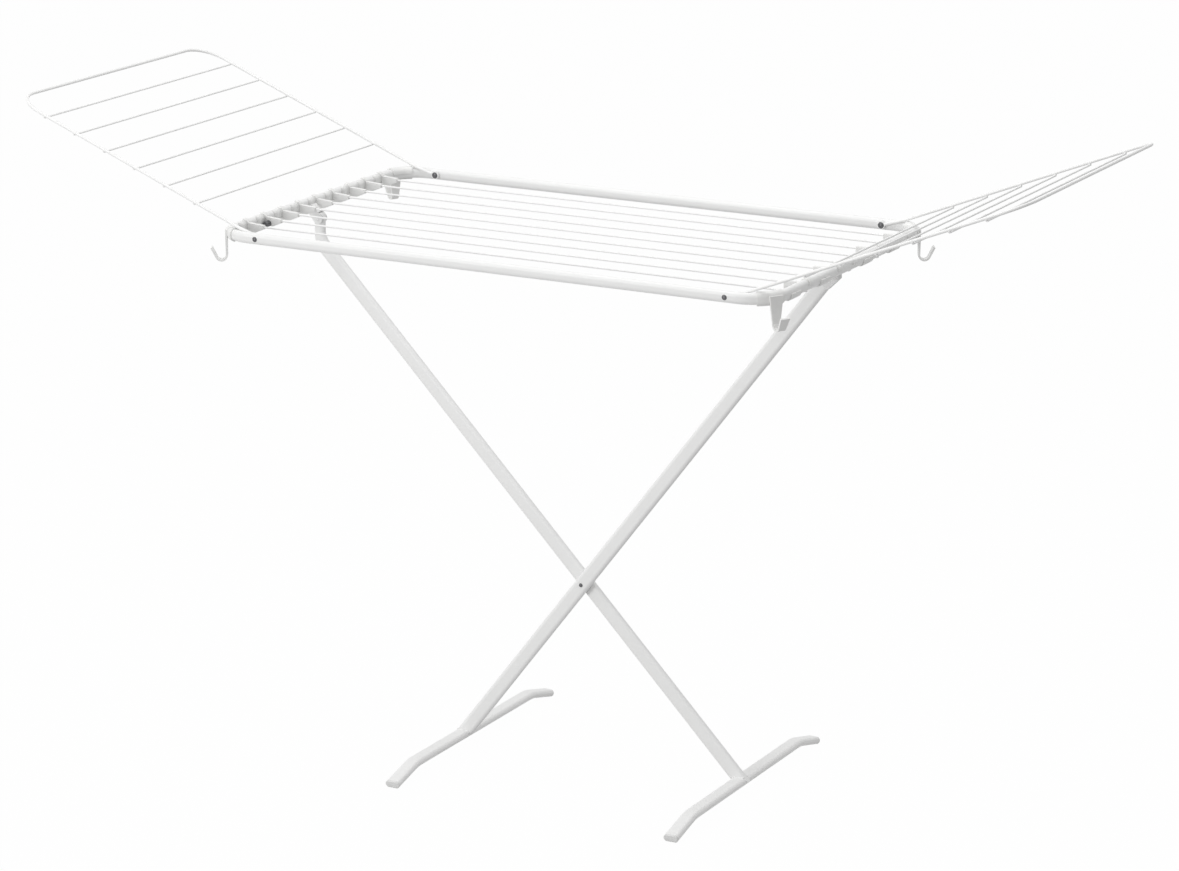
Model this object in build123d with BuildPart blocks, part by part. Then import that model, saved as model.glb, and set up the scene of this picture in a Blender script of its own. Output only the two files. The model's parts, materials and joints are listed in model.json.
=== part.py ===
from build123d import *

import os
from math import asin, cos, degrees, radians, sin, sqrt, tan

# Folding clothes drying rack. Millimetres, +Z up, +X along the rack.
# The origin lies on the floor, under the centre of the frame.

# Frame: one loop of flat oval steel tube
frame_length = 980.0
frame_width = 570.0
frame_corner = 60.0
rail_height = 886.0
rail_tall = 18.0
rail_wide = 13.0
rail_wall = 1.0

# Drying wires of the frame, spread evenly between the long rails
line_count = 9
line_margin = 81.0
line_wire = 3.0
line_end_gap = 0.2

# Plastic clips that hold the wire ends on the end rails
clip_fit = 0.1
clip_wall = 2.0
wire_fit = 0.05
left_clip_width = 8.0
left_clip_lip = 2.0
tongue_length = 30.0
tongue_width = 7.0
tongue_keel = 9.5
tongue_cover = 1.6
tongue_root_rise = 2.4
loop_lip_width = 32.0
loop_strap_width = 12.0
loop_tongue_drop = 11.5
boss_length = 5.0
centre_clip_width = 9.0

# Screw through the keel of one left clip
screw_clip_number = 2
screw_shank = 4.0
screw_head = 10.0
screw_head_tall = 11.0
screw_head_round = 1.2
screw_run_out = 3.0
screw_gap = 0.3

# Hook clips on the frame corners
hook_heading_angle = 30.5
clamp_start_angle = 14.0
hook_width = 25.0
hook_tip_width = 19.0
hook_wall = 3.0
hook_drop = 46.0
hook_bend = 8.5
hook_turn_angle = 154.0
hook_tip = 18.0

# Folding wings of bent wire
wing_pivot_inset = 77.7
wing_overhang = 390.0
wing_wire = 5.0
wing_rail_gap = 0.5
wing_seat_gap = 0.9
wing_kink_run = 40.0
wing_angle = 21.7
wing_corner = 50.0
wing_kink_bend = 60.0
wing_cross_wire = 3.0
wing_cross_count = 6
wing_cross_first = 130.1
wing_cross_last = 62.7
wing_cross_overhang = 0.5

# Wing pivots
eyelet_size = 13.0
eyelet_thick = 3.0
eyelet_shoulder = 0.5
rivet_shank = 4.0
rivet_head = 8.4
rivet_inner_head = 10.4
rivet_head_tall = 1.8
rivet_fit = 0.05
washer_gap = 0.15

# Legs of flat oval tube, crossing at one rivet
leg_wide = 25.0
leg_thick = 12.0
leg_wall = 1.0
front_foot_inset = 295.9
rear_foot_inset = 179.6
front_leg_gap = 26.7
front_leg_drop = 20.3
rear_bend_drop = 53.3
rear_leg_bend = 40.0
rear_leg_y = -12.5
rear_top_wide = 19.0
leg_seat_drop = 5.0
leg_rivet_shank = 4.0
leg_rivet_head = 6.6
leg_rivet_head_tall = 1.6
leg_washer_thick = 1.0
leg_washer_size = 18.0
leg_washer_gap = 0.1

# Hinge of the rear leg under the left end rail
hinge_inset = 19.7
hinge_drop = 15.0
hinge_pin_size = 5.0
hinge_pin_head = 8.0
hinge_pin_head_tall = 1.6
bracket_plate = 1.6
bracket_gap = 0.4
bracket_size = 17.0
bracket_web_gap = 1.5

# Nose on the front leg that catches under the right end rail
plug_depth = 28.0
plug_fit = 0.1
nose_reach = 2.0
nose_gap = 2.5
nose_tall = 7.0
nose_round = 1.5
nose_shoulder = 10.0

# Feet: bars with their ends bent down to the floor
foot_inset = 28.7
foot_height = 22.0
foot_end_height = 6.0
foot_end_run = 66.3
foot_bend = 80.0
foot_cap_fit = 0.1
foot_cap_depth = 20.0
foot_cap_end = 3.5
foot_cap_round = 1.0

# Places of the frame and its wires
rail_x = frame_length / 2 - rail_wide / 2
rail_y = frame_width / 2 - rail_wide / 2
rail_inner_x = frame_length / 2 - rail_wide
rail_inner_y = frame_width / 2 - rail_wide
rail_bottom = rail_height - rail_tall / 2
bend_x = frame_length / 2 - frame_corner
bend_y = frame_width / 2 - frame_corner
bend_middle = frame_corner - rail_wide / 2
line_pitch = (frame_width - 2 * line_margin) / (line_count - 1)
line_places = [line_pitch * (n - (line_count - 1) / 2) for n in range(line_count)]
line_end = rail_inner_x - line_end_gap

# Places of the clips
tongue_tip_x = rail_inner_x - tongue_length
tongue_tip_half = line_wire / 2 + tongue_cover
keel_x = -rail_inner_x + tongue_length / 2
screw_x = -rail_inner_x + clip_fit + clip_wall + screw_gap + screw_head / 2
screw_z = rail_height - line_wire / 2 - wire_fit - tongue_cover - screw_shank / 2

# Places of the wings, which rest on the corner clips
wing_pivot_x = frame_length / 2 - wing_pivot_inset
wing_y = rail_inner_y - wing_rail_gap - wing_wire / 2
eyelet_outer_y = wing_y + eyelet_thick / 2
washer_thick = rail_inner_y - eyelet_outer_y - 2 * washer_gap
rest_angle = degrees(asin((wing_y - bend_y) / bend_middle))
clamp_end_angle = rest_angle + degrees(wing_wire / 2 / bend_middle)
rest_run = bend_x + bend_middle * cos(radians(rest_angle)) - wing_pivot_x
rest_rise = rail_tall / 2 + clip_fit + clip_wall + wing_seat_gap + wing_wire / 2
kink_rise = wing_kink_run * rest_rise / rest_run
kink_distance = sqrt(wing_kink_run**2 + kink_rise**2)
kink_x = wing_pivot_x + wing_kink_run
kink_z = rail_height + kink_rise
wing_slope = radians(wing_angle)
tip_x = frame_length / 2 + wing_overhang - wing_wire / 2
tip_z = kink_z + (tip_x - kink_x) * tan(wing_slope)
wing_length = kink_distance + (tip_x - kink_x) / cos(wing_slope)
wing_cross_pitch = (wing_length - wing_cross_first - wing_cross_last) / (wing_cross_count - 1)

# Places of the legs: both stand on their feet and cross at the hub
front_leg_y = rear_leg_y - leg_thick - leg_washer_thick
foot_half_length = frame_width / 2 - foot_inset
foot_top = foot_height + leg_thick / 2
front_foot = Vector(front_foot_inset - frame_length / 2, front_leg_y, foot_height)
front_top = Vector(rail_inner_x - front_leg_gap, front_leg_y, rail_bottom - front_leg_drop)
rear_foot = Vector(frame_length / 2 - rear_foot_inset, rear_leg_y, foot_height)
rear_bend = Vector(hinge_inset - rail_x, rear_leg_y, rail_bottom - rear_bend_drop)
hinge_x = rear_bend.X
hinge_z = rail_bottom - hinge_drop
front_lean = (front_top.X - front_foot.X) / (front_top.Z - foot_height)
rear_lean = (rear_bend.X - rear_foot.X) / (rear_bend.Z - foot_height)
hub_rise = (rear_foot.X - front_foot.X) / (front_lean - rear_lean)
hub_x = front_foot.X + front_lean * hub_rise
hub_z = foot_height + hub_rise

os.makedirs("parts", exist_ok=True)


def save(piece, name):
    piece.label = name
    export_step(piece, f"parts/{name}.step")


def rail_section(margin, mode=Mode.ADD):
    SlotOverall(rail_tall + 2 * margin, rail_wide + 2 * margin, rotation=90, mode=mode)


def leg_section(margin=0.0, mode=Mode.ADD):
    SlotOverall(leg_wide + 2 * margin, leg_thick + 2 * margin, mode=mode)


def across_hole(x, y, z, size, length):
    with Locations(Location((x, y, z), (90, 0, 0))):
        Cylinder(size / 2, length, mode=Mode.SUBTRACT)


def wire_hole(x, y):
    with Locations(Location((x, y, rail_height), (0, 90, 0))):
        Cylinder(line_wire / 2 + wire_fit, 2 * tongue_length, mode=Mode.SUBTRACT)


# Rivet along Y: a shank between two domed heads
def rivet(x, z, near_y, far_y, shank, near_head, far_head, head_tall):
    with BuildPart() as made:
        with BuildSketch(Plane((x, 0, z))):
            with BuildLine():
                near_dome = TangentArc((0, near_y - head_tall), (near_head / 2, near_y), tangent=(1, 0))
                far_dome = TangentArc((0, far_y + head_tall), (far_head / 2, far_y), tangent=(1, 0))
                Polyline(near_dome @ 1, (shank / 2, near_y), (shank / 2, far_y), far_dome @ 1)
                Line(near_dome @ 0, far_dome @ 0)
            make_face()
        revolve(axis=Axis((x, 0, z), (0, 1, 0)))
    return made.part


# Outline of a foot bar under its leg
def foot_core(foot):
    with BuildPart() as made:
        with BuildSketch(Plane.XZ.offset(-foot.Y)):
            with Locations((foot.X, foot.Z)):
                leg_section()
        extrude(amount=leg_wide, both=True)
    return made.part


# Frame tube with the four rivet holes of the wings
with BuildPart() as frame_tube:
    with BuildSketch(Plane.XY.offset(rail_height)) as frame_plan:
        RectangleRounded(2 * rail_x, 2 * rail_y, bend_middle)
    frame_path = frame_plan.sketch.wire()
    section_plane = Plane(frame_path @ 0, x_dir=(0, 0, 1), z_dir=frame_path % 0)
    with BuildSketch(section_plane) as frame_section:
        SlotOverall(rail_tall, rail_wide)
        SlotOverall(rail_tall - 2 * rail_wall, rail_wide - 2 * rail_wall, mode=Mode.SUBTRACT)
    sweep(sections=frame_section.sketch, path=frame_path)
    for side in (-1, 1):
        across_hole(side * wing_pivot_x, 0, rail_height, rivet_shank + 2 * rivet_fit, 2 * frame_width)
save(frame_tube.part, "frame_tube")

# Straight drying wires
for number, y in enumerate(line_places, start=1):
    with BuildPart() as line:
        with BuildSketch(Plane.YZ.offset(-line_end)):
            with Locations((y, rail_height)):
                Circle(line_wire / 2)
        extrude(amount=2 * line_end)
    save(line.part, f"line_wire_{number}")

# Left clips: a strap on the inner half of the rail and a tapered tongue along the wire
for number, y in enumerate(line_places, start=1):
    clip_plane = Plane.XZ.offset(-y)
    with BuildPart() as left_clip:
        with BuildSketch(clip_plane):
            with Locations((-rail_x, rail_height)):
                rail_section(clip_fit + clip_wall)
            with Locations((-rail_x - left_clip_lip, rail_height)):
                Rectangle(rail_wide, 2 * rail_tall, align=(Align.MAX, Align.CENTER), mode=Mode.SUBTRACT)
        extrude(amount=left_clip_width / 2, both=True)
        with BuildSketch(clip_plane):
            with BuildLine():
                Polyline(
                    (-rail_x, rail_height + tongue_tip_half + tongue_root_rise),
                    (-tongue_tip_x, rail_height + tongue_tip_half),
                    (-tongue_tip_x, rail_height - tongue_tip_half),
                    (keel_x, rail_height - tongue_keel),
                    (-rail_x, rail_height - tongue_keel),
                    close=True,
                )
            make_face()
        extrude(amount=tongue_width / 2, both=True)
        with BuildSketch(clip_plane):
            with Locations((-rail_x, rail_height)):
                rail_section(clip_fit)
        extrude(amount=left_clip_width, both=True, mode=Mode.SUBTRACT)
        wire_hole(-rail_inner_x, y)
        if number == screw_clip_number:
            across_hole(screw_x, y, screw_z, screw_shank + 2 * wire_fit, left_clip_width)
    save(left_clip.part, f"left_line_clip_{number}")

# Right clips, one for each pair of wires: a lip under the rail, a strap over it and a blunt tongue
pairs = [n for n in range(line_count - 1) if n % 2 == (0 if n < line_count // 2 else 1)]
for number, first in enumerate(pairs, start=1):
    near_y = line_places[first]
    far_y = line_places[first + 1]
    lip_start = near_y - loop_lip_width / 2
    strap_end = far_y + loop_strap_width / 2
    with BuildPart() as loop_clip:
        with BuildSketch(Plane.XZ.offset(-near_y)):
            with Locations((rail_x, rail_height)):
                rail_section(clip_fit + clip_wall)
                Rectangle(2 * rail_wide, rail_tall, align=(Align.CENTER, Align.MIN), mode=Mode.SUBTRACT)
        extrude(amount=loop_lip_width / 2, both=True)
        with BuildSketch(Plane.XZ.offset(-far_y)):
            with Locations((rail_x, rail_height)):
                rail_section(clip_fit + clip_wall)
                Rectangle(2 * rail_wide, rail_tall, align=(Align.CENTER, Align.MAX), mode=Mode.SUBTRACT)
        extrude(amount=loop_strap_width / 2, both=True)
        with BuildSketch(Plane.XZ.offset(-lip_start)):
            with Locations((rail_x, rail_height)):
                Rectangle(
                    rail_wide / 2 + clip_fit + clip_wall,
                    rail_tall / 2,
                    align=(Align.MAX, Align.CENTER),
                )
        extrude(amount=lip_start - strap_end)
        with BuildSketch(Plane.XZ.offset(-far_y)):
            with Locations((rail_x, rail_height + tongue_tip_half)):
                Rectangle(
                    rail_x - tongue_tip_x,
                    tongue_tip_half + loop_tongue_drop,
                    align=(Align.MAX, Align.MAX),
                )
        extrude(amount=tongue_width / 2, both=True)
        with Locations(Location((rail_inner_x, near_y, rail_height), (0, -90, 0))):
            Cylinder(tongue_tip_half, boss_length, align=(Align.CENTER, Align.CENTER, Align.MIN))
        with BuildSketch(Plane.XZ):
            with Locations((rail_x, rail_height)):
                rail_section(clip_fit)
        extrude(amount=frame_width, both=True, mode=Mode.SUBTRACT)
        wire_hole(rail_inner_x, near_y)
        wire_hole(rail_inner_x, far_y)
    save(loop_clip.part, f"right_line_clip_{number}")

# Right clip of the middle wire
middle_y = line_places[line_count // 2]
with BuildPart() as centre_clip:
    with BuildSketch(Plane.XZ.offset(-middle_y)):
        with Locations((rail_x, rail_height)):
            rail_section(clip_fit + clip_wall)
            Rectangle(2 * rail_wide, rail_tall, align=(Align.MIN, Align.MAX), mode=Mode.SUBTRACT)
    extrude(amount=centre_clip_width / 2, both=True)
    with Locations(Location((rail_inner_x, middle_y, rail_height), (0, -90, 0))):
        Cylinder(tongue_tip_half, boss_length, align=(Align.CENTER, Align.CENTER, Align.MIN))
    with BuildSketch(Plane.XZ):
        with Locations((rail_x, rail_height)):
            rail_section(clip_fit)
    extrude(amount=frame_width, both=True, mode=Mode.SUBTRACT)
    wire_hole(rail_inner_x, middle_y)
save(centre_clip.part, "right_centre_clip")

# Screw in the keel of one left clip
screw_y = line_places[screw_clip_number - 1]
screw_plane = Plane((screw_x, screw_y - tongue_width / 2, screw_z), z_dir=(0, -1, 0))
with BuildPart() as clip_screw:
    with BuildSketch(screw_plane):
        Circle(screw_head / 2)
    extrude(amount=screw_head_tall)
    fillet(clip_screw.faces().sort_by(Axis.Y)[0].edges(), screw_head_round)
    with BuildSketch(screw_plane):
        Circle(screw_shank / 2)
    extrude(amount=-(tongue_width + screw_run_out))
save(clip_screw.part, "line_clip_screw")

# Hook clips: a clamp round the corner of the tube, under the wing wire, and a J hook below it
corner = Vector(bend_x, bend_y, rail_height)
hook_heading = radians(hook_heading_angle)
hook_start = frame_corner + clip_fit + (clip_wall + hook_wall) / 2
hook_radial = Vector(cos(hook_heading), sin(hook_heading), 0)
hook_across = Vector(sin(hook_heading), -cos(hook_heading), 0)
clamp_start = radians(clamp_start_angle)
clamp_plane = Plane(
    corner,
    x_dir=Vector(cos(clamp_start), sin(clamp_start), 0),
    z_dir=Vector(sin(clamp_start), -cos(clamp_start), 0),
)
with BuildPart() as corner_hook:
    with BuildSketch(Plane(corner, x_dir=hook_radial, z_dir=hook_across)):
        with BuildLine():
            strap = Line((hook_start, rail_tall / 4), (hook_start, hook_bend - hook_drop))
            bend = JernArc(strap @ 1, (0, -1), hook_bend, hook_turn_angle)
            Line(bend @ 1, (bend @ 1) + hook_tip * (bend % 1))
        trace(line_width=hook_wall)
    extrude(amount=hook_width / 2, both=True)
    with BuildSketch(Plane(corner, x_dir=-1 * hook_across, z_dir=hook_radial)):
        with BuildLine():
            Polyline(
                (-hook_width / 2, rail_tall),
                (hook_width / 2, rail_tall),
                (hook_tip_width / 2, -hook_drop - hook_wall),
                (-hook_tip_width / 2, -hook_drop - hook_wall),
                close=True,
            )
        make_face()
    extrude(amount=2 * frame_corner, mode=Mode.INTERSECT)
    with BuildSketch(clamp_plane):
        with Locations((bend_middle, 0)):
            rail_section(clip_fit + clip_wall)
            rail_section(clip_fit, mode=Mode.SUBTRACT)
            Rectangle(2 * rail_wide, rail_tall, align=(Align.MAX, Align.MAX), mode=Mode.SUBTRACT)
    revolve(axis=Axis(corner, (0, 0, 1)), revolution_arc=clamp_end_angle - clamp_start_angle)
for side_x, name_x in ((-1, "left"), (1, "right")):
    for side_y, name_y in ((-1, "near"), (1, "far")):
        with BuildPart() as hook:
            add(corner_hook.part)
            if side_x < 0:
                mirror(about=Plane.YZ, mode=Mode.REPLACE)
            if side_y < 0:
                mirror(about=Plane.XZ, mode=Mode.REPLACE)
        save(hook.part, f"{name_x}_{name_y}_hook")

# Wings: a bent side wire with flat eyelets on the rivets, and cross wires welded below it
cross_half = wing_y + wing_cross_overhang
cross_below = (wing_wire + wing_cross_wire) / 2
flat_shift = (eyelet_thick + wing_wire) / 2
for side, name in ((-1, "left"), (1, "right")):
    with BuildPart() as wing_frame:
        with BuildLine() as wing_path:
            FilletPolyline(
                (side * wing_pivot_x, -wing_y, rail_height),
                (side * kink_x, -wing_y, kink_z),
                (side * tip_x, -wing_y, tip_z),
                (side * tip_x, wing_y, tip_z),
                (side * kink_x, wing_y, kink_z),
                (side * wing_pivot_x, wing_y, rail_height),
                radius=[wing_kink_bend, wing_corner, wing_corner, wing_kink_bend],
            )
        with BuildSketch(Plane(wing_path.line @ 0, z_dir=wing_path.line % 0)):
            Circle(wing_wire / 2)
        sweep()
        for y in (-wing_y, wing_y):
            with Locations(Location((side * wing_pivot_x, y, rail_height), (90, 0, 0))):
                Cylinder(eyelet_size / 2, wing_wire)
            flat_size = eyelet_size + 2 * eyelet_shoulder
            across_hole(side * wing_pivot_x, y, rail_height, rivet_shank + 2 * rivet_fit, 2 * wing_wire)
            across_hole(side * wing_pivot_x, y - flat_shift, rail_height, flat_size, wing_wire)
            across_hole(side * wing_pivot_x, y + flat_shift, rail_height, flat_size, wing_wire)
    save(wing_frame.part, f"{name}_wing_frame")
    for number in range(wing_cross_count):
        along = wing_cross_first + number * wing_cross_pitch - kink_distance
        cross_x = kink_x + along * cos(wing_slope) + cross_below * sin(wing_slope)
        cross_z = kink_z + along * sin(wing_slope) - cross_below * cos(wing_slope)
        with BuildPart() as cross_wire:
            with BuildSketch(Plane.XZ.offset(-cross_half)):
                with Locations((side * cross_x, cross_z)):
                    Circle(wing_cross_wire / 2)
            extrude(amount=2 * cross_half)
        save(cross_wire.part, f"{name}_wing_wire_{number + 1}")

# Rivets and washers of the four wing pivots
rivet_inner_y = wing_y - eyelet_thick / 2 - washer_gap
rivet_outer_y = frame_width / 2
with BuildPart() as wing_rivets:
    for x in (-wing_pivot_x, wing_pivot_x):
        for near_y, far_y, near_head, far_head in (
            (-rivet_outer_y, -rivet_inner_y, rivet_head, rivet_inner_head),
            (rivet_inner_y, rivet_outer_y, rivet_inner_head, rivet_head),
        ):
            add(rivet(x, rail_height, near_y, far_y, rivet_shank, near_head, far_head, rivet_head_tall))
save(wing_rivets.part, "wing_rivets")

with BuildPart() as wing_washers:
    for side_x in (-1, 1):
        for side_y in (-1, 1):
            outward = Vector(0, side_y, 0)
            pivot = Vector(side_x * wing_pivot_x, 0, rail_height)
            with BuildSketch(Plane(pivot + (eyelet_outer_y + washer_gap) * outward, z_dir=outward)):
                Circle(eyelet_size / 2)
                Circle(rivet_shank / 2 + rivet_fit, mode=Mode.SUBTRACT)
            extrude(amount=washer_thick)
save(wing_washers.part, "wing_washers")

# Front leg: one straight tube, saddled on its foot bar
front_run = front_top - front_foot
front_direction = front_run.normalized()
front_across = Vector(front_direction.Z, 0, -front_direction.X)
with BuildPart() as front_leg:
    with BuildSketch(Plane(front_foot - leg_wide * front_direction, front_across, front_direction)):
        leg_section()
        leg_section(-leg_wall, mode=Mode.SUBTRACT)
    extrude(amount=front_run.length + leg_wide)
    split(bisect_by=Plane.XY.offset(foot_top - leg_seat_drop), keep=Keep.TOP)
    add(foot_core(front_foot), mode=Mode.SUBTRACT)
    across_hole(hub_x, front_leg_y, hub_z, leg_rivet_shank + 2 * rivet_fit, 2 * leg_thick)
save(front_leg.part, "front_leg")

# Rear leg: its top is bent upright inside the left end rail and swaged narrower
rear_direction = (rear_bend - rear_foot).normalized()
rear_across = Vector(rear_direction.Z, 0, -rear_direction.X)
rear_start = rear_foot - leg_wide * rear_direction
rear_round = rear_top_wide / 2
with BuildLine() as rear_path:
    FilletPolyline(rear_start, rear_bend, (hinge_x, rear_leg_y, hinge_z), radius=rear_leg_bend)
rear_curve = rear_path.edges().filter_by(GeomType.CIRCLE)[0]
bend_start = Plane(rear_curve @ 0, rear_across, rear_direction)
bend_end = Plane(rear_curve @ 1, (1, 0, 0), (0, 0, 1))


def rear_tube(margin):
    with BuildPart() as made:
        with BuildSketch(Plane(rear_start, rear_across, rear_direction)):
            leg_section(margin)
        extrude(amount=(rear_curve @ 0 - rear_start).length)
        with BuildSketch(bend_start, mode=Mode.PRIVATE) as wide_end:
            leg_section(margin)
        with BuildSketch(bend_end, mode=Mode.PRIVATE) as narrow_end:
            SlotOverall(rear_top_wide + 2 * margin, leg_thick + 2 * margin)
        sweep(sections=[wide_end.sketch, narrow_end.sketch], path=rear_curve, multisection=True)
        with BuildSketch(bend_end):
            SlotOverall(rear_top_wide + 2 * margin, leg_thick + 2 * margin)
        extrude(amount=hinge_z - (rear_curve @ 1).Z + rear_round)
    return made.part


with BuildPart() as rear_leg:
    add(rear_tube(0))
    add(rear_tube(-leg_wall), mode=Mode.SUBTRACT)
    split(bisect_by=Plane.XY.offset(foot_top - leg_seat_drop), keep=Keep.TOP)
    add(foot_core(rear_foot), mode=Mode.SUBTRACT)
    with BuildSketch(Plane.XZ.offset(-rear_leg_y)):
        with Locations((hinge_x, hinge_z)):
            Rectangle(leg_wide, leg_wide, align=(Align.CENTER, Align.MIN))
            Circle(rear_round, mode=Mode.SUBTRACT)
    extrude(amount=leg_thick, both=True, mode=Mode.SUBTRACT)
    across_hole(hub_x, rear_leg_y, hub_z, leg_rivet_shank + 2 * rivet_fit, 2 * leg_thick)
    across_hole(hinge_x, rear_leg_y, hinge_z, hinge_pin_size + 2 * rivet_fit, 2 * leg_thick)
save(rear_leg.part, "rear_leg")

# Rivet and washer where the legs cross
leg_back_y = rear_leg_y + leg_thick / 2
leg_gap_y = rear_leg_y - leg_thick / 2 - leg_washer_gap
leg_front_y = front_leg_y - leg_thick / 2
leg_rivet = rivet(
    hub_x,
    hub_z,
    leg_front_y - leg_washer_gap,
    leg_back_y + leg_washer_gap,
    leg_rivet_shank,
    leg_rivet_head,
    leg_rivet_head,
    leg_rivet_head_tall,
)
save(leg_rivet, "leg_rivet")

with BuildPart() as leg_washer:
    with BuildSketch(Plane.XZ.offset(-leg_gap_y)):
        with Locations((hub_x, hub_z)):
            Circle(leg_washer_size / 2)
            Circle(leg_rivet_shank / 2 + rivet_fit, mode=Mode.SUBTRACT)
    extrude(amount=leg_washer_thick - 2 * leg_washer_gap)
save(leg_washer.part, "leg_washer")

# Hinge bracket: two cheeks saddled under the left end rail, joined by a web beside it
cheek_inner = leg_thick / 2 + bracket_gap
cheek_outer = cheek_inner + bracket_plate
with BuildPart() as hinge_bracket:
    with BuildSketch(Plane.XZ.offset(-rear_leg_y)):
        with Locations((hinge_x, hinge_z)):
            Circle(bracket_size / 2)
        with Locations((-rail_x, rail_bottom + rail_wide / 2)):
            Circle(rail_wide / 2)
        make_hull()
        with Locations((-rail_x, rail_height)):
            rail_section(0, mode=Mode.SUBTRACT)
    extrude(amount=cheek_outer, both=True)
    with BuildSketch(Plane.XZ.offset(-rear_leg_y)):
        with Locations((hinge_x, hinge_z)):
            Circle(rear_round + bracket_web_gap)
    extrude(amount=cheek_inner, both=True, mode=Mode.SUBTRACT)
    across_hole(hinge_x, rear_leg_y, hinge_z, hinge_pin_size + 2 * rivet_fit, 4 * cheek_outer)
save(hinge_bracket.part, "hinge_bracket")

hinge_pin = rivet(
    hinge_x,
    hinge_z,
    rear_leg_y - cheek_outer,
    rear_leg_y + cheek_outer,
    hinge_pin_size,
    hinge_pin_head,
    hinge_pin_head,
    hinge_pin_head_tall,
)
save(hinge_pin, "hinge_pin")

# Plug in the top of the front leg, with the nose that catches under the end rail
left_edge = front_top - leg_wide / 2 * front_across
right_edge = front_top + leg_wide / 2 * front_across
shoulder = left_edge + nose_shoulder * front_direction
nose_tip_x = rail_inner_x + nose_reach
nose_top = rail_bottom - nose_gap
with BuildPart() as front_leg_plug:
    with BuildSketch(Plane.XZ.offset(-front_leg_y)) as nose:
        with BuildLine():
            Polyline(
                (left_edge.X, left_edge.Z),
                (shoulder.X, shoulder.Z),
                (nose_tip_x, nose_top),
                (nose_tip_x, nose_top - nose_tall),
                (right_edge.X, right_edge.Z),
                close=True,
            )
        make_face()
        fillet(nose.vertices().group_by(Axis.X)[-1], nose_round)
    extrude(amount=leg_thick / 2, both=True)
    with BuildSketch(Plane(front_top, front_across, -1 * front_direction)):
        leg_section(-leg_wall - plug_fit)
    extrude(amount=plug_depth)
save(front_leg_plug.part, "front_leg_plug")

# Foot bars and the plugs in their ends, which stand on the floor
bar_half = foot_half_length - foot_cap_end
bend_half = foot_half_length - foot_end_run
for foot_x, name in ((front_foot.X, "front"), (rear_foot.X, "rear")):
    with BuildPart() as foot_bar:
        with BuildLine() as foot_path:
            FilletPolyline(
                (foot_x, -bar_half, foot_end_height),
                (foot_x, -bend_half, foot_height),
                (foot_x, bend_half, foot_height),
                (foot_x, bar_half, foot_end_height),
                radius=foot_bend,
            )
        with BuildSketch(Plane(foot_path.line @ 0, (1, 0, 0), foot_path.line % 0)):
            leg_section()
            leg_section(-leg_wall, mode=Mode.SUBTRACT)
        sweep()
    save(foot_bar.part, f"{name}_foot")
    for end, side_name in ((0, "near"), (1, "far")):
        outward = (foot_path.line % end) * (1 if end else -1)
        mouth = Plane(foot_path.line @ end, (1, 0, 0), outward)
        with BuildPart() as foot_cap:
            with BuildSketch(mouth):
                leg_section()
            extrude(amount=foot_cap_end)
            fillet(foot_cap.faces().sort_by(Axis((0, 0, 0), outward))[-1].edges(), foot_cap_round)
            with BuildSketch(mouth):
                leg_section(-leg_wall - foot_cap_fit)
            extrude(amount=-foot_cap_depth)
            split(bisect_by=Plane.XY, keep=Keep.TOP)
        save(foot_cap.part, f"{name}_foot_cap_{side_name}")
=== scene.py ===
import bmesh
import bpy
import json
from math import cos, pi, radians, sin, sqrt
from mathutils import Matrix, Vector


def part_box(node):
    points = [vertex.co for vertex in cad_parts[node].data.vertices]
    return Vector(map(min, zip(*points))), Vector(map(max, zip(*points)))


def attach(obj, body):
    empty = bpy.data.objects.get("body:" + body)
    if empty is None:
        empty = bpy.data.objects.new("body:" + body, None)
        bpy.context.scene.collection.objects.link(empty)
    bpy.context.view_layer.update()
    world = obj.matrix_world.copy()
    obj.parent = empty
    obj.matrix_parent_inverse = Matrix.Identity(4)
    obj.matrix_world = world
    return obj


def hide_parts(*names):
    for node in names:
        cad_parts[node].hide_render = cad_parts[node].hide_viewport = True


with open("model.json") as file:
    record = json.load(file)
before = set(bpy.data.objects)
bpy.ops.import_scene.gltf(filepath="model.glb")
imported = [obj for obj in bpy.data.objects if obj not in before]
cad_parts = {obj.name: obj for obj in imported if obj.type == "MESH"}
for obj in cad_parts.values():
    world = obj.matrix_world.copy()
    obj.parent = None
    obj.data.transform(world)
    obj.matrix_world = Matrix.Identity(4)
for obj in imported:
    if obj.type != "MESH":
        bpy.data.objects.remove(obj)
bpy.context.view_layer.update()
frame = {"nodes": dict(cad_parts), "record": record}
nodes = frame["nodes"]
scene = bpy.context.scene
scene.view_settings.view_transform = "Standard"


# small helpers for node trees
def addNode(tree, kind, x, y, **settings):
    node = tree.nodes.new(kind)
    node.location = (x, y)
    for name, value in settings.items():
        setattr(node, name, value)
    return node


def setInputs(node, **values):
    for name, value in values.items():
        node.inputs[name.replace("_", " ")].default_value = value


def newGroup(name, inputs, outputs):
    group = bpy.data.node_groups.new(name, "ShaderNodeTree")
    for label, kind, value in inputs:
        socket = group.interface.new_socket(label, in_out="INPUT", socket_type=kind)
        socket.default_value = value
    for label, kind in outputs:
        group.interface.new_socket(label, in_out="OUTPUT", socket_type=kind)
    return group


# grain: fine skin of a coat or a mould, with slow drifts of tone
surfaceGrain = {
    "fineDetail": 3.0, "fineRoughness": 0.55, "driftDetail": 4.0, "driftRoughness": 0.6,
    "noiseMiddle": 0.5, "noiseLow": 0.3, "noiseHigh": 0.7,
}


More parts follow.
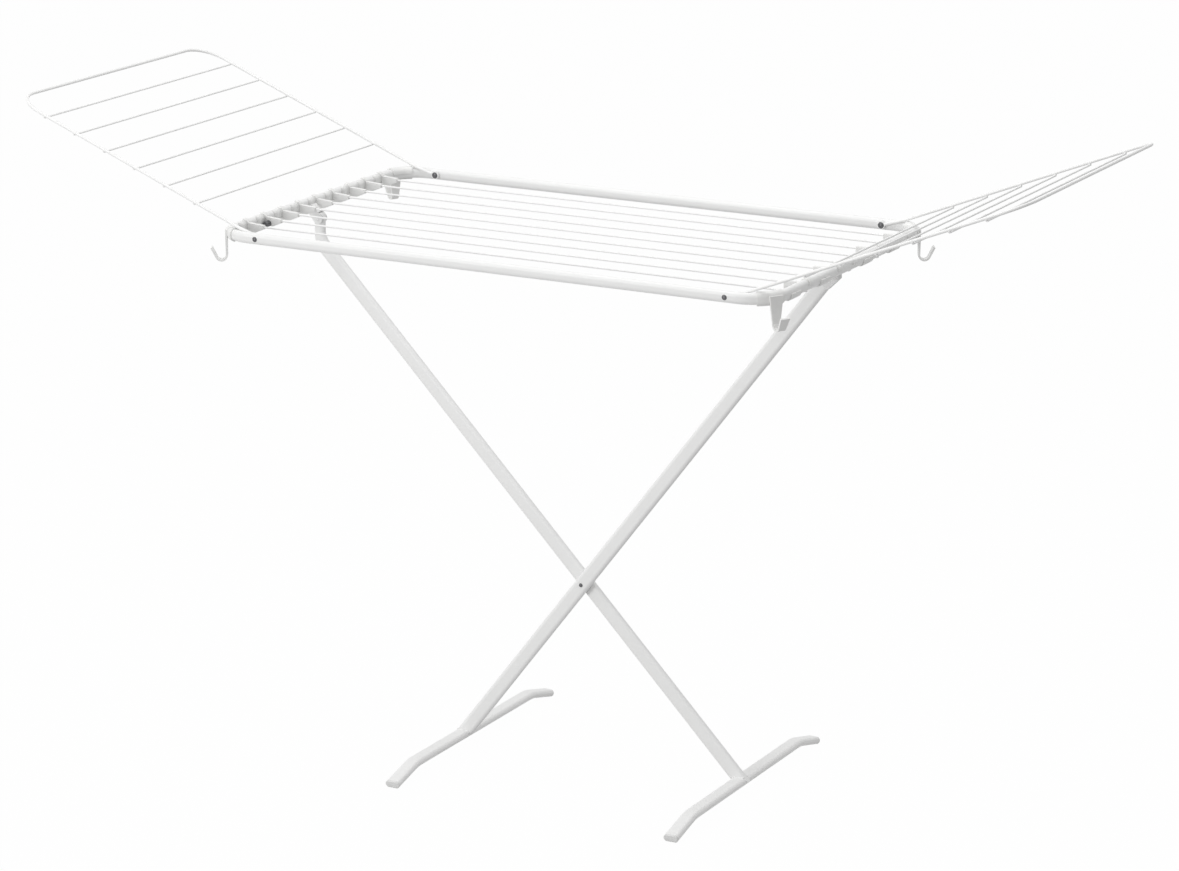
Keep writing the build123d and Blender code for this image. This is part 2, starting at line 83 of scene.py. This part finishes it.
def makeGrainGroup():
    group = newGroup(
        "surfaceGrain",
        [
            ("Colour", "NodeSocketColor", (0.8, 0.8, 0.8, 1)),
            ("Tone Spread", "NodeSocketFloat", 0.02),
            ("Grain Scale", "NodeSocketFloat", 700.0),
            ("Drift Scale", "NodeSocketFloat", 9.0),
            ("Gloss Low", "NodeSocketFloat", 0.35),
            ("Gloss High", "NodeSocketFloat", 0.45),
        ],
        [
            ("Colour", "NodeSocketColor"),
            ("Roughness", "NodeSocketFloat"),
            ("Height", "NodeSocketFloat"),
        ],
    )
    link = group.links.new
    given = addNode(group, "NodeGroupInput", -900, 0)
    put = addNode(group, "NodeGroupOutput", 500, 0)
    coords = addNode(group, "ShaderNodeTexCoord", -900, -300)
    grain = addNode(group, "ShaderNodeTexNoise", -650, -250)
    setInputs(grain, Detail=surfaceGrain["fineDetail"], Roughness=surfaceGrain["fineRoughness"])
    drift = addNode(group, "ShaderNodeTexNoise", -650, 50)
    setInputs(drift, Detail=surfaceGrain["driftDetail"], Roughness=surfaceGrain["driftRoughness"])
    link(coords.outputs["Object"], grain.inputs["Vector"])
    link(coords.outputs["Object"], drift.inputs["Vector"])
    link(given.outputs["Grain Scale"], grain.inputs["Scale"])
    link(given.outputs["Drift Scale"], drift.inputs["Scale"])
    centred = addNode(group, "ShaderNodeMath", -430, 120, operation="SUBTRACT")
    centred.inputs[1].default_value = surfaceGrain["noiseMiddle"]
    spread = addNode(group, "ShaderNodeMath", -240, 120, operation="MULTIPLY_ADD")
    spread.inputs[2].default_value = 1.0
    toned = addNode(group, "ShaderNodeVectorMath", -40, 180, operation="SCALE")
    gloss = addNode(group, "ShaderNodeMapRange", -240, -120)
    setInputs(gloss, From_Min=surfaceGrain["noiseLow"], From_Max=surfaceGrain["noiseHigh"])
    link(drift.outputs["Fac"], centred.inputs[0])
    link(centred.outputs[0], spread.inputs[0])
    link(given.outputs["Tone Spread"], spread.inputs[1])
    link(given.outputs["Colour"], toned.inputs[0])
    link(spread.outputs[0], toned.inputs["Scale"])
    link(grain.outputs["Fac"], gloss.inputs["Value"])
    link(given.outputs["Gloss Low"], gloss.inputs["To Min"])
    link(given.outputs["Gloss High"], gloss.inputs["To Max"])
    link(toned.outputs[0], put.inputs["Colour"])
    link(gloss.outputs["Result"], put.inputs["Roughness"])
    link(grain.outputs["Fac"], put.inputs["Height"])
    return group


# scuff: greyer specks close to the floor
floorScuff = {
    "speckScale": 160.0, "speckDetail": 5.0, "speckRoughness": 0.7, "patchLow": 0.42, "patchHigh": 0.68,
}


def makeScuffGroup():
    group = newGroup(
        "floorScuff",
        [
            ("Colour", "NodeSocketColor", (0.8, 0.8, 0.8, 1)),
            ("Scuff Colour", "NodeSocketColor", (0.5, 0.49, 0.47, 1)),
            ("Reach", "NodeSocketFloat", 0.02),
            ("Amount", "NodeSocketFloat", 0.3),
        ],
        [("Colour", "NodeSocketColor")],
    )
    link = group.links.new
    given = addNode(group, "NodeGroupInput", -900, 0)
    put = addNode(group, "NodeGroupOutput", 400, 0)
    coords = addNode(group, "ShaderNodeTexCoord", -900, -300)
    split = addNode(group, "ShaderNodeSeparateXYZ", -700, -300)
    speck = addNode(group, "ShaderNodeTexNoise", -700, -500)
    setInputs(speck, Scale=floorScuff["speckScale"], Detail=floorScuff["speckDetail"])
    setInputs(speck, Roughness=floorScuff["speckRoughness"])
    height = addNode(group, "ShaderNodeMapRange", -480, -250)
    setInputs(height, To_Min=1.0, To_Max=0.0)
    patch = addNode(group, "ShaderNodeMapRange", -480, -500)
    setInputs(patch, From_Min=floorScuff["patchLow"], From_Max=floorScuff["patchHigh"])
    both = addNode(group, "ShaderNodeMath", -250, -300, operation="MULTIPLY")
    mask = addNode(group, "ShaderNodeMath", -60, -250, operation="MULTIPLY")
    mix = addNode(group, "ShaderNodeMix", 140, 80, data_type="RGBA")
    link(coords.outputs["Object"], split.inputs[0])
    link(coords.outputs["Object"], speck.inputs["Vector"])
    link(split.outputs["Z"], height.inputs["Value"])
    link(given.outputs["Reach"], height.inputs["From Max"])
    link(speck.outputs["Fac"], patch.inputs["Value"])
    link(height.outputs["Result"], both.inputs[0])
    link(patch.outputs["Result"], both.inputs[1])
    link(both.outputs[0], mask.inputs[0])
    link(given.outputs["Amount"], mask.inputs[1])
    link(mask.outputs[0], mix.inputs["Factor"])
    link(given.outputs["Colour"], mix.inputs["A"])
    link(given.outputs["Scuff Colour"], mix.inputs["B"])
    link(mix.outputs["Result"], put.inputs["Colour"])
    return group


grainGroup = makeGrainGroup()
scuffGroup = makeScuffGroup()
print("shader groups: grain and scuff")

# finishes, one for each slot of the record; scuff is its reach above the floor and its amount
finishLooks = {
    "coated_tube": {
        "name": "tubePowderCoat", "colour": (0.83, 0.83, 0.825), "metal": 0.0, "ior": 1.45,
        "toneSpread": 0.05, "grainScale": 620.0, "driftScale": 7.0, "gloss": (0.34, 0.42),
        "bump": 0.08, "bumpDepth": 0.0002, "scuff": (0.012, 0.08),
    },
    "coated_wire": {
        "name": "wirePowderCoat", "colour": (0.87, 0.87, 0.865), "metal": 0.0, "ior": 1.45,
        "toneSpread": 0.05, "grainScale": 900.0, "driftScale": 11.0, "gloss": (0.36, 0.44),
        "bump": 0.12, "bumpDepth": 0.00015,
    },
    "clip_plastic": {
        "name": "mouldedClip", "colour": (0.82, 0.82, 0.81), "metal": 0.0, "ior": 1.49,
        "toneSpread": 0.03, "grainScale": 1500.0, "driftScale": 40.0, "gloss": (0.40, 0.52),
        "bump": 0.25, "bumpDepth": 0.0001,
    },
    # foot plastic is set darker than the other whites: painted shade for the feet's end faces, which
    # tilt down away from the lamps
    "foot_plastic": {
        "name": "mouldedFootPaintedShade", "colour": (0.73, 0.73, 0.725), "metal": 0.0, "ior": 1.49,
        "toneSpread": 0.03, "grainScale": 1300.0, "driftScale": 35.0, "gloss": (0.42, 0.56),
        "bump": 0.3, "bumpDepth": 0.00012, "scuff": (0.008, 0.25),
    },
    "rivet_steel": {
        "name": "darkRivet", "colour": (0.13, 0.13, 0.135), "metal": 0.85, "ior": 1.5,
        "toneSpread": 0.25, "grainScale": 2200.0, "driftScale": 300.0, "gloss": (0.34, 0.55),
        "bump": 0.3, "bumpDepth": 0.00008,
    },
}


# one finish: grain, an optional scuff, a bump and the shader
def makeFinish(look):
    material = bpy.data.materials.new(look["name"])
    material.use_nodes = True
    tree = material.node_tree
    link = tree.links.new
    shader = tree.nodes["Principled BSDF"]
    setInputs(shader, Metallic=look["metal"], IOR=look["ior"])
    grain = addNode(tree, "ShaderNodeGroup", -700, 100, node_tree=grainGroup)
    setInputs(grain, Colour=(*look["colour"], 1), Tone_Spread=look["toneSpread"])
    setInputs(grain, Grain_Scale=look["grainScale"], Drift_Scale=look["driftScale"])
    setInputs(grain, Gloss_Low=look["gloss"][0], Gloss_High=look["gloss"][1])
    colour = grain.outputs["Colour"]
    if "scuff" in look:
        scuff = addNode(tree, "ShaderNodeGroup", -450, 250, node_tree=scuffGroup)
        setInputs(scuff, Reach=look["scuff"][0], Amount=look["scuff"][1])
        link(colour, scuff.inputs["Colour"])
        colour = scuff.outputs["Colour"]
    bump = addNode(tree, "ShaderNodeBump", -300, -200)
    setInputs(bump, Strength=look["bump"], Distance=look["bumpDepth"])
    link(colour, shader.inputs["Base Color"])
    link(grain.outputs["Roughness"], shader.inputs["Roughness"])
    link(grain.outputs["Height"], bump.inputs["Height"])
    link(bump.outputs["Normal"], shader.inputs["Normal"])
    return material


finishes = {slot: makeFinish(look) for slot, look in finishLooks.items()}
for part in frame["record"]["subparts"]:
    nodes[part["node"]].data.materials.clear()
    nodes[part["node"]].data.materials.append(finishes[part["material_slot"]])

# corners closer than this, in metres, become one
mergeDistance = 1e-7


# a bmesh becomes a piece that has its finish and rides on its body
def placePiece(name, bm, body, slot):
    mesh = bpy.data.meshes.new(name)
    bm.to_mesh(mesh)
    bm.free()
    piece = bpy.data.objects.new(name, mesh)
    scene.collection.objects.link(piece)
    mesh.materials.append(finishes[slot])
    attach(piece, body)
    return piece


def makePiece(name, bm, body, slot):
    bmesh.ops.remove_doubles(bm, verts=bm.verts, dist=mergeDistance)
    bmesh.ops.recalc_face_normals(bm, faces=bm.faces)
    placePiece(name, bm, body, slot).data.shade_smooth()


def middle(node):
    low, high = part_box(node)
    return (low + high) / 2


def facesOf(geometry):
    return [item for item in geometry if isinstance(item, bmesh.types.BMFace)]


def vertsOf(geometry):
    return [item for item in geometry if isinstance(item, bmesh.types.BMVert)]


# rings set along a path and bridged into one closed bead
def makeBead(bm, places, sizes, sides):
    rings = []
    last = len(places) - 1
    for i, place in enumerate(places):
        ahead = places[min(i + 1, last)] - places[max(i - 1, 0)]
        turn = ahead.to_track_quat("Z", "Y").to_matrix().to_4x4()
        made = bmesh.ops.create_circle(
            bm, cap_ends=i in (0, last), segments=sides, radius=sizes[i],
            matrix=Matrix.Translation(place) @ turn,
        )
        edges = {edge for vert in made["verts"] for edge in vert.link_edges}
        rings.append(list(edges))
    for ring, following in zip(rings, rings[1:]):
        bmesh.ops.bridge_loops(bm, edges=ring + following)


# weld beads where the flat legs stand on their foot bars; tops are the upper ends of the legs' axes
legWeld = {
    "bead": 0.0015, "ripple": 0.16, "steps": 25, "sides": 10, "reach": 0.0119, "lowest": 0.0012,
    "stand": 0.0003, "tops": {"front": (0.4503, 0.8567), "rear": (-0.4638, 0.8237)},
}


# where a line along the leg, at one offset from its axis, meets the rounded bar
def meetBar(offset, leanX, leanZ, flat, rounding):
    startX, startZ = offset * leanZ, -offset * leanX
    onTop = (rounding - startZ) / leanZ
    if abs(startX + onTop * leanX) <= flat:
        return startX + onTop * leanX, rounding
    side = flat if startX + onTop * leanX > 0 else -flat
    along = (startX - side) * leanX + startZ * leanZ
    inside = along * along - (startX - side) ** 2 - startZ ** 2 + rounding ** 2
    if inside < 0:
        return None
    reach = sqrt(inside) - along
    return startX + reach * leanX, startZ + reach * leanZ


def makeLegWeld(leg, top):
    legLow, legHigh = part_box(f"{leg}_leg")
    footLow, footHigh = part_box(f"{leg}_foot")
    rounding = (legHigh.y - legLow.y) / 2
    flat = (footHigh.x - footLow.x) / 2 - rounding
    centre = Vector(((footLow.x + footHigh.x) / 2, (legLow.y + legHigh.y) / 2, footHigh.z - rounding))
    lean = (Vector((top[0], centre.y, top[1])) - centre).normalized()
    bm = bmesh.new()
    for ySign in (-1, 1):
        places = []
        for step in range(legWeld["steps"]):
            offset = legWeld["reach"] * (2 * step / (legWeld["steps"] - 1) - 1)
            hit = meetBar(offset, lean.x, lean.z, flat, rounding)
            if hit is None or hit[1] < legWeld["lowest"]:
                continue
            curve = max(abs(offset) - flat, 0)
            out = sqrt(rounding ** 2 - curve ** 2) + legWeld["stand"]
            places.append(centre + Vector((hit[0], ySign * out, hit[1])))
        sizes = [legWeld["bead"] * (1 + legWeld["ripple"] * (-1) ** i) for i in range(len(places))]
        makeBead(bm, places, sizes, legWeld["sides"])
    makePiece(f"{leg}LegWeld", bm, f"{leg}_leg_body", "coated_tube")


for leg, top in legWeld["tops"].items():
    makeLegWeld(leg, top)
print("leg welds:", len(legWeld["tops"]))

# flattened weld nuggets where the cross wires lie against the wing frames
wingWeld = {"slope": 21.7, "size": (0.0026, 0.0030, 0.0011), "detail": 2, "wireY": 0.269, "wires": 6}


def makeWingWelds(side, sign):
    bm = bmesh.new()
    slope = radians(wingWeld["slope"])
    toFrame = Vector((-sign * sin(slope), 0, cos(slope)))
    turn = Matrix.Rotation(-sign * slope, 4, "Y")
    for n in range(1, wingWeld["wires"] + 1):
        low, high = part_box(f"{side}_wing_wire_{n}")
        wire = (low + high) / 2
        for ySign in (-1, 1):
            touch = Vector((wire.x, ySign * wingWeld["wireY"], wire.z)) + toFrame * (high.x - low.x) / 2
            shape = Matrix.Translation(touch) @ turn @ Matrix.Diagonal((*wingWeld["size"], 1))
            bmesh.ops.create_icosphere(bm, subdivisions=wingWeld["detail"], radius=1.0, matrix=shape)
    makePiece(f"{side}WingWelds", bm, f"{side}_wing", "coated_wire")


makeWingWelds("left", -1)
makeWingWelds("right", 1)
print("wing welds:", wingWeld["wires"], "wires on each wing")

# rolled rims on the ends of the rivets
rivetRim = {
    "rim": 0.0006, "sides": 10, "steps": 28, "outerRing": 0.0024, "innerRing": 0.0028, "hubRing": 0.0019,
    "sink": 0.0002, "washerRadius": 0.0065,
}


def addRim(bm, place, ring, ySign):
    upright = Matrix.Translation(place + Vector((ring, -ySign * rivetRim["sink"], 0)))
    made = bmesh.ops.create_circle(
        bm, segments=rivetRim["sides"], radius=rivetRim["rim"], matrix=upright
    )
    edges = list({edge for vert in made["verts"] for edge in vert.link_edges})
    bmesh.ops.spin(
        bm, geom=made["verts"] + edges, cent=place, axis=(0, 1, 0), angle=2 * pi,
        steps=rivetRim["steps"], use_merge=True,
    )


def makeWingRims():
    low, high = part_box("wing_rivets")
    washerLow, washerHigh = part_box("wing_washers")
    height = (low.z + high.z) / 2
    pivot = (washerHigh.x - washerLow.x) / 2 - rivetRim["washerRadius"]
    innerEnd = min(abs(vert.co.y) for vert in nodes["wing_rivets"].data.vertices)
    bm = bmesh.new()
    for xSign in (-1, 1):
        for ySign in (-1, 1):
            outer = Vector((xSign * pivot, ySign * high.y, height))
            inner = Vector((xSign * pivot, ySign * innerEnd, height))
            addRim(bm, outer, rivetRim["outerRing"], ySign)
            addRim(bm, inner, rivetRim["innerRing"], -ySign)
    makePiece("wingRivetRims", bm, "frame", "rivet_steel")


def makeLegRims():
    low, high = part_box("leg_rivet")
    hub = (low + high) / 2
    bm = bmesh.new()
    addRim(bm, Vector((hub.x, low.y, hub.z)), rivetRim["hubRing"], -1)
    addRim(bm, Vector((hub.x, high.y, hub.z)), rivetRim["hubRing"], 1)
    makePiece("legRivetRims", bm, "rear_leg_body", "rivet_steel")


makeWingRims()
makeLegRims()
print("rivet rims: wings and legs")

# rounded plug that closes the rear leg's tube at the hinge
legTopPlug = {"play": 0.0004, "wall": 0.001, "edge": 0.0008, "edgeSteps": 3, "sides": 48, "level": 1e-6}


def makeLegTopPlug():
    low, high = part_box("rear_leg")
    pin = middle("hinge_pin")
    radius = high.z - pin.z - legTopPlug["play"]
    thick = high.y - low.y - 2 * legTopPlug["wall"]
    place = Vector((pin.x, (low.y + high.y) / 2, pin.z))
    bm = bmesh.new()
    bmesh.ops.create_cone(
        bm, cap_ends=True, segments=legTopPlug["sides"], radius1=radius, radius2=radius, depth=thick,
        matrix=Matrix.Translation(place) @ Matrix.Rotation(radians(90), 4, "X"),
    )
    rims = [
        edge for edge in bm.edges if abs(edge.verts[0].co.y - edge.verts[1].co.y) < legTopPlug["level"]
    ]
    bmesh.ops.bevel(
        bm, geom=rims, offset=legTopPlug["edge"], affect="EDGES", segments=legTopPlug["edgeSteps"],
        profile=0.5, material=-1,
    )
    makePiece("rearLegTopPlug", bm, "rear_leg_body", "foot_plastic")


makeLegTopPlug()
print("leg plug: 1")

# base plates of the left wire clips, wrapped on the rail's inner side; from and to are beside the wire
clipPlate = {
    "count": 9, "thick": 0.0012, "from": -0.026, "to": -0.0043, "stand": 0.0001, "steps": 8,
    "topAngle": 62.0, "lowAngle": 48.0, "railRound": 0.0065, "railFlat": 0.0025, "railHeight": 0.886,
}


def bendFace(bm, face, centre, degrees):
    return bmesh.ops.spin(
        bm, geom=list(face.verts) + list(face.edges) + [face], cent=centre, axis=(0, 1, 0),
        angle=radians(degrees), steps=clipPlate["steps"],
    )


def makeClipPlates():
    bm = bmesh.new()
    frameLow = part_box("frame_tube")[0]
    roundX = frameLow.x + clipPlate["railRound"]
    inner = clipPlate["railRound"] + clipPlate["stand"]
    outer = inner + clipPlate["thick"]
    upper = Vector((roundX, 0, clipPlate["railHeight"] + clipPlate["railFlat"]))
    lower = Vector((roundX, 0, clipPlate["railHeight"] - clipPlate["railFlat"]))
    toTop = Matrix.Rotation(-radians(clipPlate["topAngle"]), 3, "Y")
    for n in range(1, clipPlate["count"] + 1):
        wireY = middle(f"line_wire_{n}").y
        corners = []
        for radius, end in ((inner, "from"), (inner, "to"), (outer, "to"), (outer, "from")):
            corners.append(bm.verts.new(upper + Vector((radius, wireY + clipPlate[end], 0))))
        face = bm.faces.new(corners)
        bmesh.ops.rotate(bm, verts=face.verts, cent=upper, matrix=toTop)
        bent = facesOf(bendFace(bm, face, upper, clipPlate["topAngle"])["geom_last"])
        down = bmesh.ops.extrude_face_region(bm, geom=bent)["geom"]
        bmesh.ops.translate(bm, verts=vertsOf(down), vec=lower - upper)
        bmesh.ops.delete(bm, geom=bent, context="FACES_ONLY")
        bendFace(bm, facesOf(down)[0], lower, clipPlate["lowAngle"])
    makePiece("clipPlates", bm, "frame", "clip_plastic")


makeClipPlates()
print("clip plates:", clipPlate["count"])


def copyNode(node):
    bm = bmesh.new()
    bm.from_mesh(nodes[node].data)
    bmesh.ops.remove_doubles(bm, verts=bm.verts, dist=mergeDistance)
    return bm


# a moulding that takes the place of a node on the frame
def makeMould(name, bm, node):
    piece = placePiece(name, bm, "frame", "clip_plastic")
    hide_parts(node)
    return piece


# the clip behind the screw, made from its plain neighbour without the hole
clipNodes = {"plain": "left_line_clip_1", "screwed": "left_line_clip_2"}


def makeScrewClip():
    bm = copyNode(clipNodes["plain"])
    shift = middle(clipNodes["screwed"]) - middle(clipNodes["plain"])
    bmesh.ops.translate(bm, verts=bm.verts, vec=shift)
    return makeMould("screwClip", bm, clipNodes["screwed"])


screwClip = makeScrewClip()
print("screw clip: 1")

# hanger hooks whose straps narrow towards the lip, between two heights
hookTaper = {
    "corner": (0.43, 0.225), "heading": 30.5, "from": 0.8745, "to": 0.85, "upper": 0.9, "lower": 0.66,
}


def makeHook(end, side, xSign, ySign):
    heading = radians(hookTaper["heading"])
    corner = Vector((xSign * hookTaper["corner"][0], ySign * hookTaper["corner"][1], 0))
    across = Vector((-xSign * sin(heading), ySign * cos(heading), 0))
    bm = copyNode(f"{end}_{side}_hook")
    for vert in bm.verts:
        drop = (hookTaper["from"] - vert.co.z) / (hookTaper["from"] - hookTaper["to"])
        if drop > 0:
            share = hookTaper["upper"] + (hookTaper["lower"] - hookTaper["upper"]) * min(drop, 1)
            vert.co += across * ((vert.co - corner).dot(across) * (share - 1))
    return makeMould(f"{end}{side.title()}Hook", bm, f"{end}_{side}_hook")


hooks = [
    makeHook(end, side, xSign, ySign)
    for end, xSign in (("left", -1), ("right", 1))
    for side, ySign in (("near", -1), ("far", 1))
]
print("hooks:", len(hooks))

# soft edges on the mouldings, by the start of a clip's name
mouldEdge = {
    "clips": {"left_line_clip": 0.0014, "right_line_clip": 0.0008, "right_centre_clip": 0.0008},
    "hook": 0.0006, "angle": 38.0, "steps": 3, "merge": 1e-6,
}


def mergePoints(mould, name):
    merge = mould.modifiers.new(name, "WELD")
    merge.merge_threshold = mouldEdge["merge"]


def softenMould(mould, width):
    mergePoints(mould, "mergeFacets")
    soft = mould.modifiers.new("softEdges", "BEVEL")
    soft.width = width
    soft.segments = mouldEdge["steps"]
    soft.limit_method = "ANGLE"
    soft.angle_limit = radians(mouldEdge["angle"])
    mergePoints(mould, "mergeEdges")


softMoulds = [(screwClip, mouldEdge["clips"]["left_line_clip"])]
softMoulds += [(hook, mouldEdge["hook"]) for hook in hooks]
for name, node in nodes.items():
    for start, width in mouldEdge["clips"].items():
        if name.startswith(start) and name != clipNodes["screwed"]:
            softMoulds.append((node, width))
for mould, width in softMoulds:
    softenMould(mould, width)
print("soft edges:", len(softMoulds), "mouldings")

# camera at the photograph's angle
photoCamera = {
    "eye": (3.0015, -5.4361, 2.2804), "azimuth": 28.6659, "elevation": 15.5644, "roll": -0.1733,
    "focalPixels": 4020.159, "imageWidth": 1179.0, "sensor": 36.0,
}


def makeCamera():
    azimuth, elevation = radians(photoCamera["azimuth"]), radians(photoCamera["elevation"])
    back = Vector((sin(azimuth) * cos(elevation), -cos(azimuth) * cos(elevation), sin(elevation)))
    roll = Matrix.Rotation(radians(photoCamera["roll"]), 3, back)
    right = roll @ Vector((cos(azimuth), sin(azimuth), 0))
    up = back.cross(right)
    data = bpy.data.cameras.new("photoCamera")
    data.sensor_width = photoCamera["sensor"]
    data.lens = photoCamera["focalPixels"] * photoCamera["sensor"] / photoCamera["imageWidth"]
    camera = bpy.data.objects.new("photoCamera", data)
    camera.matrix_world = Matrix((right, up, back)).transposed().to_4x4()
    camera.location = photoCamera["eye"]
    scene.collection.objects.link(camera)
    scene.camera = camera


makeCamera()
print("camera:", tuple(round(v, 3) for v in scene.camera.location))

# pale floor, white world and soft studio lamps
studio = {
    "floorSize": 60.0,
    "floorColour": (0.6, 0.6, 0.6, 1),
    "floorGlow": 0.985,
    "worldColour": (1, 1, 1, 1),
    "worldLight": 0.56,
    "lamps": {
        "overhead": {"place": (0.0, 0.0, 3.0), "aim": (0.0, 0.0, 0.8), "size": 2.6, "watts": 31.0},
        "frontFill": {"place": (-2.6, -5.2, 2.0), "aim": (0.0, 0.0, 0.6), "size": 2.5, "watts": 125.0},
    },
}


def makeFloor():
    bm = bmesh.new()
    bmesh.ops.create_grid(bm, x_segments=1, y_segments=1, size=studio["floorSize"] / 2)
    mesh = bpy.data.meshes.new("floor")
    bm.to_mesh(mesh)
    bm.free()
    floor = bpy.data.objects.new("floor", mesh)
    scene.collection.objects.link(floor)
    material = bpy.data.materials.new("paleFloor")
    material.use_nodes = True
    tree = material.node_tree
    link = tree.links.new
    tree.nodes.remove(tree.nodes["Principled BSDF"])
    output = tree.nodes["Material Output"]
    matt = addNode(tree, "ShaderNodeBsdfDiffuse", -400, 100)
    setInputs(matt, Color=studio["floorColour"])
    glow = addNode(tree, "ShaderNodeEmission", -400, -100)
    path = addNode(tree, "ShaderNodeLightPath", -900, 300)
    seen = addNode(tree, "ShaderNodeMath", -650, 300, operation="MAXIMUM")
    share = addNode(tree, "ShaderNodeMath", -450, 300, operation="MULTIPLY")
    share.inputs[1].default_value = studio["floorGlow"]
    mix = addNode(tree, "ShaderNodeMixShader", -150, 0)
    link(path.outputs["Is Camera Ray"], seen.inputs[0])
    link(path.outputs["Is Glossy Ray"], seen.inputs[1])
    link(seen.outputs[0], share.inputs[0])
    link(share.outputs[0], mix.inputs["Fac"])
    link(matt.outputs[0], mix.inputs[1])
    link(glow.outputs[0], mix.inputs[2])
    link(mix.outputs[0], output.inputs["Surface"])
    mesh.materials.append(material)


def makeWorld():
    world = bpy.data.worlds.new("studio")
    scene.world = world
    world.use_nodes = True
    tree = world.node_tree
    link = tree.links.new
    background = tree.nodes["Background"]
    setInputs(background, Color=studio["worldColour"])
    path = addNode(tree, "ShaderNodeLightPath", -900, 0)
    cameraOrGloss = addNode(tree, "ShaderNodeMath", -650, 100, operation="MAXIMUM")
    seen = addNode(tree, "ShaderNodeMath", -450, 50, operation="MAXIMUM")
    strength = addNode(tree, "ShaderNodeMapRange", -250, 0)
    setInputs(strength, To_Min=studio["worldLight"], To_Max=1.0)
    link(path.outputs["Is Camera Ray"], cameraOrGloss.inputs[0])
    link(path.outputs["Is Glossy Ray"], cameraOrGloss.inputs[1])
    link(cameraOrGloss.outputs[0], seen.inputs[0])
    link(path.outputs["Is Transmission Ray"], seen.inputs[1])
    link(seen.outputs[0], strength.inputs["Value"])
    link(strength.outputs["Result"], background.inputs["Strength"])


def makeLamps():
    for name, lamp in studio["lamps"].items():
        data = bpy.data.lights.new(name, "AREA")
        data.shape = "SQUARE"
        data.size = lamp["size"]
        data.energy = lamp["watts"]
        light = bpy.data.objects.new(name, data)
        aim = Vector(lamp["aim"]) - Vector(lamp["place"])
        light.matrix_world = aim.to_track_quat("-Z", "Y").to_matrix().to_4x4()
        light.location = lamp["place"]
        scene.collection.objects.link(light)


makeFloor()
makeWorld()
makeLamps()
print("studio:", len(studio["lamps"]), "lamps")
